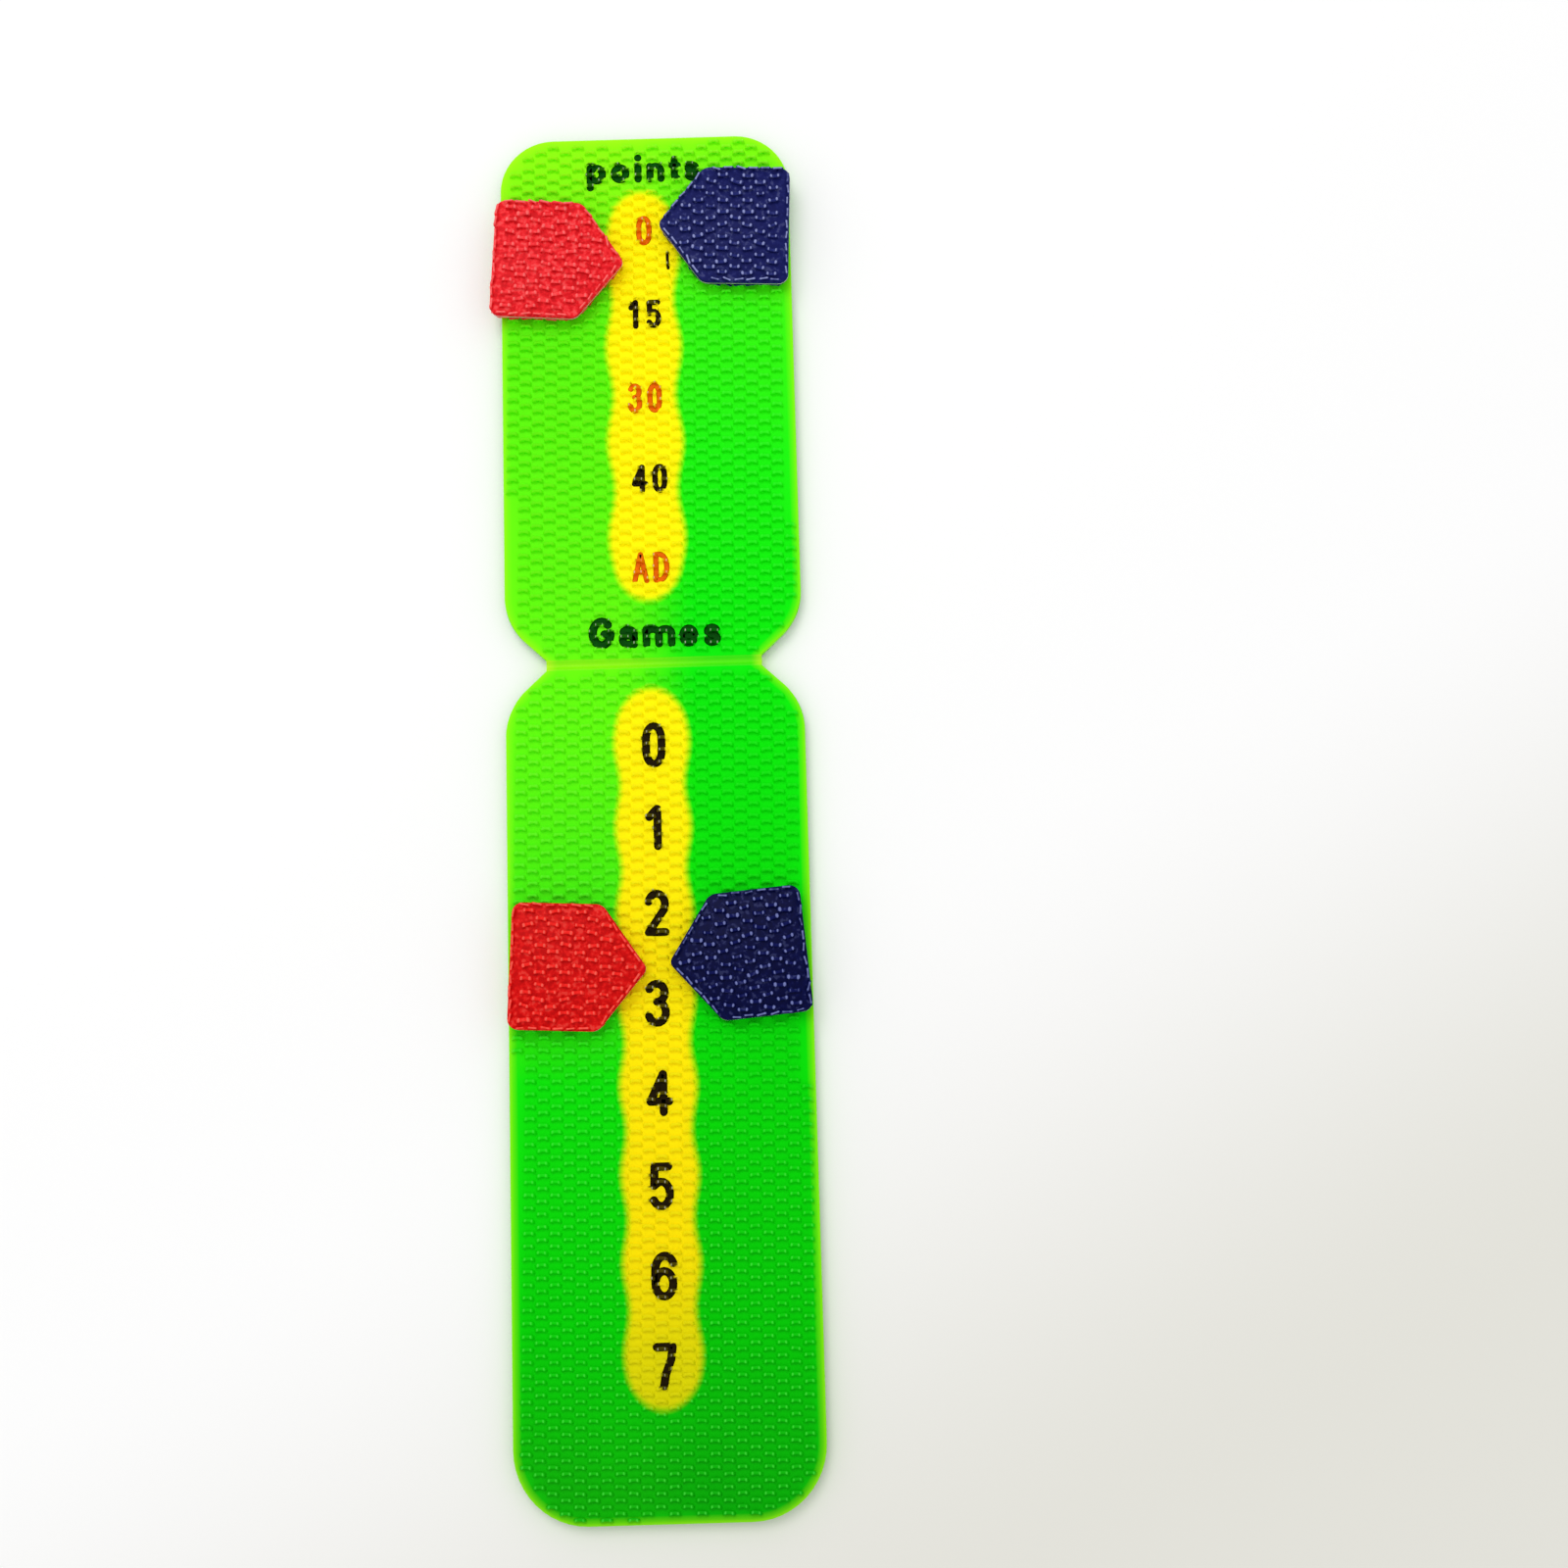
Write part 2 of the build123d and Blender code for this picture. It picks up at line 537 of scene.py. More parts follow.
@dataclass(frozen=True)
class CreaseFinish:
    """Pressed crease: lime on the left, greener on the right, yellow at both ends."""

    name: str = "pressed_crease"
    left: Colour = ink(134, 244, 10)
    right: Colour = ink(58, 234, 12)
    columns: Span = (-4.0, 6.0)
    line_left: Colour = ink(170, 250, 20)
    line_right: Colour = ink(112, 244, 16)
    line_columns: Span = (-3.0, 5.0)
    line_reach: Span = (0.04, 0.34)
    line_share: float = 0.42
    end: Colour = ink(206, 244, 44)
    end_reach: Span = (8.05, 9.05)
    end_share: float = 0.6
    cloud_size: float = 0.8
    cloud_share: float = 0.12
    surface: Surface = Surface(0.35, 0.1, spread=0.2, strength=0.2, depth=0.03)

    def material(self) -> Material:
        """Build the material.

        Returns:
            The material.
        """
        bench = NodeBench(self.name)
        vector, across, along, _ = bench.place()
        cloud = bench.noise(vector, self.cloud_size, detail=3.0)
        line = bench.mix(across.ease(*self.line_columns), self.line_left, self.line_right)
        tone = bench.mix(across.ease(*self.columns), self.left, self.right)
        tone = bench.mix(abs(along).ease(*self.line_reach, self.line_share, 0.0), tone, line)
        tone = bench.mix(abs(across).ease(*self.end_reach, 0.0, self.end_share), tone, self.end)
        tone = bench.mix(cloud * self.cloud_share, tone, line)
        return bench.close(tone, cloud, self.surface)


@dataclass(frozen=True)
class InkFinish:
    """Printing ink with slightly uneven cover."""

    name: str
    tone: Ink
    thin_gain: float = 1.3
    thin_lift: float = 0.001
    cloud_size: float = 0.5
    thin: Span = (0.4, 0.7)
    surface: Surface = Surface(0.45, 0.04, spread=0.2)

    def material(self) -> Material:
        """Build the material.

        Returns:
            The material.
        """
        bench = NodeBench(self.name)
        cloud = bench.noise(bench.place()[0], self.cloud_size)
        full = self.tone.value
        thin = (*(min(1.0, part * self.thin_gain + self.thin_lift) for part in full[:3]), 1.0)
        return bench.close(bench.mix(cloud.ease(*self.thin), full, thin), cloud, self.surface)


# Mesh helpers


# Two heights closer than this are one
SAME_HEIGHT = 1e-3
# A face lies flat with more than this of its normal along Z, and is a wall with less than that
FLAT = 0.99
WALL = 0.5
EDGE_SEGMENTS = 2


def shift(bm: BMesh, verts: Iterable[BMVert], *offset: float) -> None:
    """Move vertices by an offset."""
    bmesh.ops.translate(bm, vec=Vector(offset), verts=list(verts))


def face_out(bm: BMesh) -> None:
    """Turn all faces outwards and bring their normals up to date."""
    bmesh.ops.recalc_face_normals(bm, faces=bm.faces[:])
    bm.normal_update()


def grow(bm: BMesh, faces: list[BMFace]) -> tuple[list[BMVert], list[BMFace]]:
    """Extrude faces in place and return the vertices and faces at the new end."""
    grown = bmesh.ops.extrude_face_region(bm, geom=faces)["geom"]
    return [g for g in grown if isinstance(g, BMVert)], [g for g in grown if isinstance(g, BMFace)]


def bevel(bm: BMesh, parts: list[BMVert] | list[BMEdge], offset: float, segments: int) -> None:
    """Round corners of a flat face, or edges, with an arc.

    Args:
        bm: The mesh.
        parts: Vertices or edges, of one kind.
        offset: How far from them the arc starts.
        segments: Segments of the arc.
    """
    corners = isinstance(parts[0], BMVert)
    bmesh.ops.bevel(bm, geom=parts, offset=offset, offset_type="OFFSET", segments=segments,
                    affect="VERTICES" if corners else "EDGES", profile=0.5,
                    clamp_overlap=not corners, material=-1)


def round_outline(corners: list[tuple[float, float, float]], segments: int) -> BMesh:
    """Build a flat face with rounded corners at height zero.

    Args:
        corners: Each corner's x, y and the distance from it at which its arc starts.
        segments: Segments of each arc.

    Returns:
        The face.
    """
    bm = bmesh.new()
    bmesh.ops.contextual_create(bm, geom=[bm.verts.new((x, y, 0)) for x, y, _ in corners])
    for x, y, offset in corners:
        if offset:
            corner = min(bm.verts, key=lambda v: (v.co.xy - Vector((x, y))).length)
            bevel(bm, [corner], offset, segments)
    return bm


def rim_edges(bm: BMesh, height: float) -> list[BMEdge]:
    """Edges between a flat side at a height and the wall that meets it.

    Args:
        bm: A plate.
        height: Height of the flat side.

    Returns:
        The edges.
    """
    found = []
    for edge in bm.edges:
        level = all(abs(vert.co.z - height) < SAME_HEIGHT for vert in edge.verts)
        if level and any(abs(face.normal.z) < WALL for face in edge.link_faces):
            found.append(edge)
    return found


def thicken(bm: BMesh, bottom: float, top: float, face_up: bool, edge_round: float) -> float:
    """Turn a flat face into a plate.

    Args:
        bm: The face, at height zero.
        bottom: Height of the plate's lower side.
        top: Height of its upper side.
        face_up: Whether the upper side is the hooked one, whose edge is rounded.
        edge_round: Width of the rounding.

    Returns:
        Height of the hooked side.
    """
    shift(bm, bm.verts, 0, 0, bottom)
    shift(bm, grow(bm, bm.faces[:])[0], 0, 0, top - bottom)
    face_out(bm)
    base = top if face_up else bottom
    bevel(bm, rim_edges(bm, base), edge_round, EDGE_SEGMENTS)
    return base


def make_object(name: str, bm: BMesh, material: Material, smooth_angle: float = 50.0) -> Object:
    """Turn a bmesh in millimetres into an object in metres.

    Args:
        name: Name of the piece.
        bm: Its mesh, which is freed.
        material: Its material.
        smooth_angle: Edges sharper than this many degrees stay sharp.

    Returns:
        The linked object, with its place in its mesh.
    """
    bmesh.ops.scale(bm, vec=(MM, MM, MM), verts=bm.verts[:])
    bm.normal_update()
    for face in bm.faces:
        face.smooth = True
    for edge in bm.edges:
        edge.smooth = not (edge.is_manifold and edge.calc_face_angle(0.0) > math.radians(smooth_angle))
    mesh = bpy.data.meshes.new(name)
    bm.to_mesh(mesh)
    bm.free()
    mesh.materials.append(material)
    piece = bpy.data.objects.new(name, mesh)
    bpy.context.scene.collection.objects.link(piece)
    LOG.info("%s: %d faces", name, len(mesh.polygons))
    return piece


def coordinates(mesh: Mesh) -> np.ndarray:
    """Vertex places of a mesh in millimetres.

    Args:
        mesh: A mesh in metres.

    Returns:
        One row of x, y and z for each vertex.
    """
    values = np.zeros(len(mesh.vertices) * 3, np.float32)
    mesh.vertices.foreach_get("co", values)
    return values.reshape(-1, 3) / MM


def settle(piece: Object, body: str, node: str) -> None:
    """Put a piece on a body, in place of a CAD node.

    Args:
        piece: The piece.
        body: The body that it rides.
        node: The node that it stands for.
    """
    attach(piece, body)
    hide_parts(node)


def dress(node: Object, material: Material) -> None:
    """Give a CAD node a material in place of the one it came with.

    Args:
        node: The node's object.
        material: The material.
    """
    node.data.materials.clear()
    node.data.materials.append(material)
    LOG.info("%s: dressed in %s", node.name, material.name)


# Hooks


@dataclass(frozen=True)
class HookShape:
    """One moulded hook: two arms that arch out from a stem and droop at their tips.

    Each station is a place out from the middle, the height of the arm's top, half its width and
    its thickness. The other arm is the same, mirrored. The bow is how far the tips are set back,
    the stem's scales are those of its foot, and the root is how far the foot sits in the web. The
    stem grows from the middlemost face whose normal's z is below the underside's bound.
    """

    stations: tuple[tuple[float, float, float, float], ...]
    bow: float = 0.0
    stem: Span = (0.8, 1.5)
    root: float = 0.02
    sides: int = 6
    underside: float = -0.7

    def template(self) -> BMesh:
        """Build the hook with its foot at the origin, standing along Z.

        Returns:
            The hook, as a closed mesh.
        """
        path = [(-x, *rest) for x, *rest in reversed(self.stations)] + list(self.stations)
        sweep = self.bow / self.stations[-1][0]**2
        bm = bmesh.new()
        ring = bmesh.ops.create_circle(bm, radius=1.0, segments=self.sides)["verts"]
        bmesh.ops.rotate(bm, matrix=Matrix.Rotation(math.pi / 2, 3, "Y"), verts=ring)
        x, top, half, thick = path[0]
        flat_to_flat = math.cos(math.pi / self.sides)
        bmesh.ops.scale(bm, vec=(1, half, thick / 2 / flat_to_flat), verts=ring)
        shift(bm, ring, x, -sweep * x**2, top - thick / 2)
        face = bmesh.ops.contextual_create(bm, geom=ring)["faces"][0]
        for index, step in enumerate(path[1:]):
            ring, ends = grow(bm, [face])
            if index > 0:
                bmesh.ops.delete(bm, geom=[face], context="FACES_ONLY")
            face = ends[0]
            shift(bm, ring, -x, sweep * x**2, -(top - thick / 2))
            bmesh.ops.scale(bm, vec=(1, step[2] / half, step[3] / thick), verts=ring)
            x, top, half, thick = step
            shift(bm, ring, x, -sweep * x**2, top - thick / 2)
        face_out(bm)
        lower = [f for f in bm.faces if f.normal.z < self.underside]
        under = min(lower, key=lambda f: f.calc_center_median().xy.length)
        foot, _ = grow(bm, [under])
        bmesh.ops.delete(bm, geom=[under], context="FACES_ONLY")
        bmesh.ops.scale(bm, vec=(*self.stem, 0), verts=foot)
        shift(bm, foot, 0, 0, -self.root)
        face_out(bm)
        return bm


CARD_HOOK = HookShape(((0.12, 0.39, 0.13, 0.12), (0.29, 0.45, 0.16, 0.13), (0.42, 0.37, 0.15, 0.12),
                       (0.52, 0.18, 0.11, 0.10)), bow=0.12)
TAB_HOOK = HookShape(((0.14, 0.30, 0.13, 0.13), (0.31, 0.45, 0.17, 0.14), (0.44, 0.38, 0.16, 0.13),
                      (0.54, 0.16, 0.12, 0.10)), bow=0.06)
GRIP_HOOK = HookShape(((0.14, 0.31, 0.15, 0.11), (0.30, 0.35, 0.16, 0.11), (0.42, 0.28, 0.14, 0.10),
                       (0.50, 0.12, 0.10, 0.08)))
PRESSED_HOOK = HookShape(((0.10, 0.40, 0.09, 0.14), (0.30, 0.42, 0.10, 0.15), (0.42, 0.34, 0.08, 0.12),
                          (0.48, 0.18, 0.06, 0.08)))


@dataclass(frozen=True)
class HookLattice:
    """Rows of hooks in columns, every other column half a row on.

    A hook is left out where its foot, or a tip at its reach to the left or right, would come
    nearer the cut edge than the clearance for it.
    """

    column_pitch: float
    row_pitch: float
    turn: float
    start: tuple[float, float]
    half_side: float
    foot_clear: float
    tip_clear: float
    tip_reach: float

    def fill(self, depth: Callable[[np.ndarray], np.ndarray]) -> np.ndarray:
        """Feet of the hooks that an outline has room for.

        Args:
            depth: Gives the distances of places from the cut edge, positive inside it.

        Returns:
            One row of x and y for each hook.
        """
        columns = int(self.half_side / self.column_pitch) + 1
        rows = int(self.half_side / self.row_pitch) + 1
        column, row = np.meshgrid(np.arange(-columns, columns + 1), np.arange(-rows, rows + 1))
        x = (column * self.column_pitch).ravel()
        y = ((row + 0.5 * (column % 2)) * self.row_pitch).ravel()
        angle = math.radians(self.turn)
        spots = np.stack([
            self.start[0] + x * math.cos(angle) - y * math.sin(angle),
            self.start[1] + x * math.sin(angle) + y * math.cos(angle),
        ], axis=1)
        tips = np.minimum(depth(spots - (self.tip_reach, 0)), depth(spots + (self.tip_reach, 0)))
        return spots[(depth(spots) > self.foot_clear) & (tips > self.tip_clear)]


CARD_LATTICE = HookLattice(1.075, 1.012, -1.3, (-0.3, 0.2), half_side=80.0,
                           foot_clear=0.48, tip_clear=0.20, tip_reach=0.5)
TAB_LATTICE = HookLattice(1.075, 1.10, 0.0, (-5.6, 0.1), half_side=14.0,
                          foot_clear=0.45, tip_clear=0.12, tip_reach=0.4)


@dataclass(frozen=True)
class Jitter:
    """Usual differences from hook to hook: turn in degrees, size, stoop and place."""

    turn: float = 2.5
    size: float = 0.025
    stoop: float = 0.015
    place: float = 0.012


def plant_hooks(bm: BMesh, shape: HookShape, places: np.ndarray, base: float, turn: float,
                face_up: bool, seed: int, spread: float = 1.0) -> None:
    """Set copies of a hook on a web.

    Args:
        bm: Mesh that receives the hooks.
        shape: Shape of the hook.
        places: Feet of the hooks, one row of x and y each.
        base: Height of the web's surface.
        turn: Turn of the hooks in degrees.
        face_up: Whether the hooks stand up, and don't hang down.
        seed: Seed of the small differences from hook to hook.
        spread: Factor of these differences.
    """
    mesh = bpy.data.meshes.new("hook_field")
    hooks = shape.template()
    hooks.to_mesh(mesh)
    hooks.free()
    hooks = bmesh.new()
    hooks.from_mesh(mesh)
    x, y, z = np.array([vert.co for vert in hooks.verts]).T
    counts = (len(hooks.verts), len(hooks.edges), len(hooks.faces))
    done = 1
    while done < len(places):
        more = min(done, len(places) - done)
        part = []
        for sequence, count in zip((hooks.verts, hooks.edges, hooks.faces), counts):
            sequence.ensure_lookup_table()
            part += sequence[:count * more]
        bmesh.ops.duplicate(hooks, geom=part)
        done += more
    jitter = Jitter()
    draw = np.random.default_rng(seed)
    angle = np.radians(turn + draw.normal(0.0, jitter.turn * spread, done))[:, None]
    size = 1.0 + draw.normal(0.0, jitter.size * spread, (done, 1))
    stoop = 1.0 - np.abs(draw.normal(0.0, jitter.stoop * spread, (done, 1)))
    spots = places + draw.normal(0.0, jitter.place * spread, (done, 2))
    sign = 1.0 if face_up else -1.0
    x = x * size
    y = y * size * sign
    rows = np.stack([
        spots[:, :1] + x * np.cos(angle) - y * np.sin(angle),
        spots[:, 1:] + x * np.sin(angle) + y * np.cos(angle),
        base + sign * z * stoop,
    ], axis=2)
    hooks.to_mesh(mesh)
    hooks.free()
    mesh.vertices.foreach_set("co", rows.astype(np.float32).ravel())
    bm.from_mesh(mesh)
    bpy.data.meshes.remove(mesh)
    LOG.info("%d hooks planted", done)


# The card


@dataclass(frozen=True)
class PanelOutline:
    """Outline of one panel, from the crease to its rounded end.

    The sides of the notch run out from the crease at a slant and meet the card's sides in a
    rounded shoulder. The direction is 1 for the points panel and -1 for the games panel.
    """

    length: float
    end_radius: float
    direction: int
    half_width: float = 12.5
    half_waist: float = 9.05
    notch_turn: float = 47.0
    shoulder: float = 5.0
    fold_edge: float = 0.45
    overrun: float = 1.0
    corner_segments: int = 12

    def notch_corner(self) -> float:
        """Where the notch's slant would meet the card's side, along the card."""
        rise = (self.half_width - self.half_waist) / math.tan(math.radians(self.notch_turn))
        return self.fold_edge + rise

    def shoulder_offset(self) -> float:
        """Distance from that corner to the ends of the rounded shoulder."""
        return self.shoulder * math.tan(math.radians(self.notch_turn) / 2)

    def face(self) -> BMesh:
        """Build the outline as one flat face at height zero.

        Returns:
            The face, on the points panel's side of the fold and running on past the crease.
        """
        narrow = self.half_waist - self.overrun * math.tan(math.radians(self.notch_turn))
        right = [
            (narrow, self.fold_edge - self.overrun, 0.0),
            (self.half_width, self.notch_corner(), self.shoulder_offset()),
            (self.half_width, self.length, self.end_radius),
        ]
        left = [(-x, y, offset) for x, y, offset in reversed(right)]
        return round_outline(right + left, self.corner_segments)

    def cut_at_fold(self, bm: BMesh) -> None:
        """Cut a plate off at the crease, close it and turn it to its side of the fold.

        Args:
            bm: The plate.
        """
        bmesh.ops.bisect_plane(bm, geom=bm.verts[:] + bm.edges[:] + bm.faces[:], dist=1e-5,
                               plane_co=(0, self.fold_edge, 0), plane_no=(0, 1, 0), clear_inner=True)
        bmesh.ops.holes_fill(bm, edges=[e for e in bm.edges if e.is_boundary], sides=0)
        if self.direction < 0:
            bmesh.ops.scale(bm, vec=(1, -1, 1), verts=bm.verts[:])
        face_out(bm)

    def depth(self, places: np.ndarray) -> np.ndarray:
        """Distance of places from the cut edge, positive inside the panel.

        Args:
            places: One row for each place, which starts with its x and y.

        Returns:
            The distances, which the crease doesn't limit.
        """
        turn = math.radians(self.notch_turn)
        across = np.abs(places[:, 0])
        run = places[:, 1] * self.direction
        slant = (self.half_waist - across) * math.cos(turn) + (run - self.fold_edge) * math.sin(turn)
        found = np.minimum(np.minimum(self.half_width - across, self.length - run), slant)
        side_start = self.notch_corner() + self.shoulder_offset()
        rounds = ((self.end_radius, self.length - self.end_radius, 0.0, 90.0),
                  (self.shoulder, side_start, -self.notch_turn, 0.0))
        for radius, centre, low, high in rounds:
            out_x = across - self.half_width + radius
            out_y = run - centre
            angle = np.degrees(np.arctan2(out_y, out_x))
            found = np.where((angle > low) & (angle < high), radius - np.hypot(out_x, out_y), found)
        return found


@dataclass
class CardPanel:
    """One half of the card: printed hook sheet, films and back sheet."""

    name: str
    outline: PanelOutline
    finish: PrintFinish
    lattice: HookLattice = CARD_LATTICE
    hook: HookShape = CARD_HOOK
    seed: int = 7
    fold_clear: float = 0.24
    edge_round: float = 0.07
    rings: Span = (0.23, 0.4)
    rim_width: float = 0.5

    def sheet(self, side: str, face_up: bool, material: Material) -> Object:
        """Build a web with narrow rings round its hooked side, plant its hooks and mark its rim.

        Args:
            side: Word for the side, used in the name.
            face_up: Whether the hooks stand on the upper side.
            material: Material of the sheet.

        Returns:
            The piece.
        """
        heights = (HEIGHTS.back_web, HEIGHTS.back_web_top)
        if face_up:
            heights = (HEIGHTS.print_top, HEIGHTS.face_web_top)
        bm = self.outline.face()
        base = thicken(bm, *heights, face_up, self.edge_round)
        for width in self.rings:
            bm.normal_update()
            flat = [f for f in bm.faces if abs(f.normal.z) > FLAT]
            hooked = [f for f in flat if abs(f.calc_center_median().z - base) < SAME_HEIGHT]
            inner = max(hooked, key=lambda f: f.calc_area())
            bmesh.ops.inset_region(bm, faces=[inner], thickness=width, use_even_offset=True)
        self.outline.cut_at_fold(bm)
        places = self.lattice.fill(self.outline.depth)
        run = places[:, 1] * self.outline.direction
        places = places[run > self.outline.fold_edge + self.fold_clear]
        plant_hooks(bm, self.hook, places, base, self.lattice.turn, face_up, self.seed)
        piece = make_object(f"{self.name}_{side}_hooks", bm, material)
        rim = 1.0 - np.clip(self.outline.depth(coordinates(piece.data)) / self.rim_width, 0, 1)
        layer = piece.data.attributes.new("rim", "FLOAT", "POINT")
        layer.data.foreach_set("value", rim.astype(np.float32))
        return piece

    def build(self, frame: dict, plain: Material, bond: Material, edge: Material) -> Object:
        """Build the panel's sheets and dress its films.

        Args:
            frame: The loaded frame.
            plain: Material of the unprinted back.
            bond: Material of the bond film.
            edge: Material of the print film, of which only the cut edge shows.

        Returns:
            The printed sheet.
        """
        face = self.sheet("face", True, self.finish.material())
        back = self.sheet("back", False, plain)
        for piece, sheet in ((face, "hook_sheet"), (back, "back_sheet")):
            settle(piece, f"{self.name}_panel", f"{self.name}_{sheet}")
        dress(frame["nodes"][f"{self.name}_print_film"], edge)
        dress(frame["nodes"][f"{self.name}_bond_film"], bond)
        return face


@dataclass
class FoldCrease:
    """Pressed strip between the panels, grooved along the crease."""

    half_width: float = 9.05
    half_length: float = 0.45
    top: float = 1.23
    groove: float = 0.22
    segments: tuple[int, int] = (24, 16)

    def build(self, material: Material) -> None:
        """Build the strip between the two panels, in place of the CAD crease.

        Args:
            material: Material of the strip.
        """
        bm = bmesh.new()
        bmesh.ops.create_grid(bm, x_segments=self.segments[0], y_segments=self.segments[1], size=0.5)
        bmesh.ops.scale(bm, vec=(2 * self.half_width, 2 * self.half_length, 1), verts=bm.verts[:])
        bmesh.ops.reverse_faces(bm, faces=bm.faces[:])
        upper, _ = grow(bm, bm.faces[:])
        shift(bm, upper, 0, 0, self.top)
        for vert in upper:
            share = math.cos(math.pi / 2 * vert.co.y / self.half_length)
            vert.co.z -= self.groove * share**2
        face_out(bm)
        piece = make_object("crease_strip", bm, material)
        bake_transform(piece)
        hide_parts("fold_crease")


# The pointers


@dataclass
class Pointer:
    """A square tab with a pointed nose, hooked on its face and on its grip.

    A row of pressed hooks runs along each edge, at the border's inset from it and at its pitch,
    and keeps its margin in all from the two corners.
    """

    name: str
    side: Side
    tip: tuple[float, float]
    turn: float
    slot: str
    seed: int
    length: float = 11.3
    height: float = 10.4
    nose: float = 3.9
    tail_radius: float = 0.90
    shoulder_radius: float = 1.00
    tip_radius: float = 0.60
    corner_segments: int = 5
    edge_round: float = 0.08
    border_inset: float = 0.18
    border_pitch: float = 1.05
    border_margin: float = 1.3
    spread: float = 3.0
    lattice: HookLattice = TAB_LATTICE

    def seat(self) -> Matrix:
        """Turn and place of the pointer on the card."""
        facing = self.turn if self.side is Side.LEFT else 180.0 + self.turn
        return Matrix.Translation((*self.tip, 0)) @ Matrix.Rotation(math.radians(facing), 4, "Z")

    def corners(self) -> list[Vector]:
        """Corners of the outline before they are rounded, with the tip at the origin.

        Returns:
            The corners from the tail's lower one, anticlockwise.
        """
        half = self.height / 2
        return [Vector(spot) for spot in ((-self.length, -half), (-self.nose, -half), (0.0, 0.0),
                                          (-self.nose, half), (-self.length, half))]

    def edges(self) -> list[tuple[Vector, Vector]]:
        """Start and end of each edge of the outline."""
        corners = self.corners()
        return list(zip(corners, corners[1:] + corners[:1]))

    def face(self) -> BMesh:
        """Build the outline as one flat face at height zero.

        Returns:
            The face, with its tip at the origin.
        """
        radii = (self.tail_radius, self.shoulder_radius, self.tip_radius, self.shoulder_radius,
                 self.tail_radius)
        edges = self.edges()
        corners = []
        for index, radius in enumerate(radii):
            corner, after = edges[index]
            before = edges[index - 1][0]
            bend = math.pi - (before - corner).angle(after - corner)
            corners.append((*corner, radius * math.tan(bend / 2)))
        return round_outline(corners, self.corner_segments)

    def depth(self, places: np.ndarray) -> np.ndarray:
        """Distance of places from the outline, positive inside it.

        Args:
            places: One row of x and y for each place.

        Returns:
            The distances.
        """
        found = []
        for start, end in self.edges():
            along = (end - start).normalized()
            found.append((places[:, 1] - start.y) * along.x - (places[:, 0] - start.x) * along.y)
        return np.min(found, axis=0)

    def border(self) -> list[tuple[np.ndarray, float]]:
        """Rows of pressed hooks just inside each edge.

        Returns:
            For each edge, the feet of its hooks and its turn in degrees.
        """
        rows = []
        for start, end in self.edges():
            length = (end - start).length
            along = (end - start) / length
            inward = np.array((-along.y, along.x)) * self.border_inset
            count = int((length - self.border_margin) / self.border_pitch)
            first = (length - self.border_pitch * count) / 2
            steps = first + self.border_pitch * np.arange(count + 1)
            turn = math.degrees(math.atan2(along.y, along.x))
            rows.append((np.array(start) + steps[:, None] * np.array(along) + inward, turn))
        return rows

    def layer(self, part: str, node: str, hook: HookShape, heights: Span, face_up: bool,
              tape: Material) -> None:
        """Build a plate with its hooks and set it on the card.

        Args:
            part: Word for the layer, used in the name.
            node: Last part of the name of the node that it stands for.
            hook: Shape of its hooks.
            heights: Heights of the plate's lower and upper side.
            face_up: Whether the hooks stand on the upper side.
            tape: Material of the layer.
        """
        bm = self.face()
        base = thicken(bm, *heights, face_up, self.edge_round)
        inside = self.lattice.fill(self.depth)
        plant_hooks(bm, hook, inside, base, self.lattice.turn, face_up, self.seed, self.spread)
        for row, (places, turn) in enumerate(self.border()):
            plant_hooks(bm, PRESSED_HOOK, places, base, turn, face_up, self.seed + row, self.spread)
        bmesh.ops.transform(bm, matrix=self.seat(), verts=bm.verts[:])
        piece = make_object(f"{self.name}_{part}_hooks", bm, tape)
        settle(piece, self.name, f"{self.name}_{node}")

    def build(self, frame: dict, tape: Material, film: Material) -> None:
        """Build the pointer's layers.

        Args:
            frame: The loaded frame.
            tape: Material of its hook tape.
            film: Material of its bond film.
        """
        face = (HEIGHTS.tab_film_top, HEIGHTS.tab_web_top)
        grip = (HEIGHTS.grip_web, HEIGHTS.grip_top)
        self.layer("face", "hook_face", TAB_HOOK, face, True, tape)
        self.layer("grip", "grip_back", GRIP_HOOK, grip, False, tape)
        dress(frame["nodes"][f"{self.name}_bond_film"], film)


# The scales


def bow(x: float, y: float, across: float, along: float, start: float, end: float, steps: int = 12) -> Stroke:
    """Points on an arc of an upright ellipse.

    Args:
        x: Centre across.
        y: Centre along.
        across: Radius across.
        along: Radius along.
        start: First angle in degrees, anticlockwise from the right.
        end: Last angle in degrees.
        steps: Number of segments.

    Returns:
        The points, from the first angle to the last.
    """
    angles = [math.radians(start + (end - start) * index / steps) for index in range(steps + 1)]
    return tuple((x + across * math.cos(angle), y + along * math.sin(angle)) for angle in angles)


